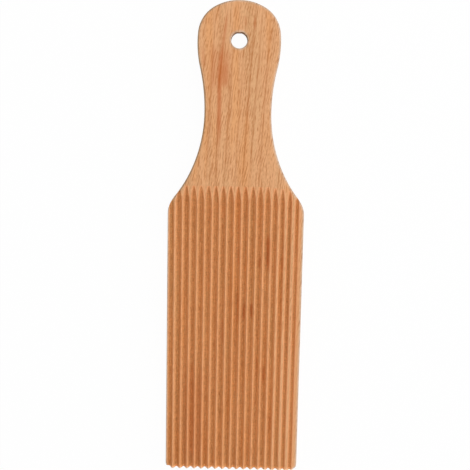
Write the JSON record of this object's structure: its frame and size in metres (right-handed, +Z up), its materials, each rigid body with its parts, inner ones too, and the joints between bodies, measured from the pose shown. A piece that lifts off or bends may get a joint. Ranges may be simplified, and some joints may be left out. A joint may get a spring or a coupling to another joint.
{
  "type": "gnocchi board",
  "caption": "Flat wooden paddle with a ridged blade for rolling gnocchi and other small pasta, and a waisted handle with a hanging hole.",
  "frame": {"origin": "under the middle of the board's length and width, in the plane of the flat underside", "axes": "+Y along the board from the end of the blade to the end of the handle, +Z up out of the ridged face, +X to the right with the handle pointing away"},
  "size_m": [0.06, 0.21, 0.01],
  "materials": {
    "beech": "planed and sanded bare beech, fine straight grain with short dark ray flecks, matt"
  },
  "bodies": {
    "root": {"board": "beech"}
  },
  "joints": []
}
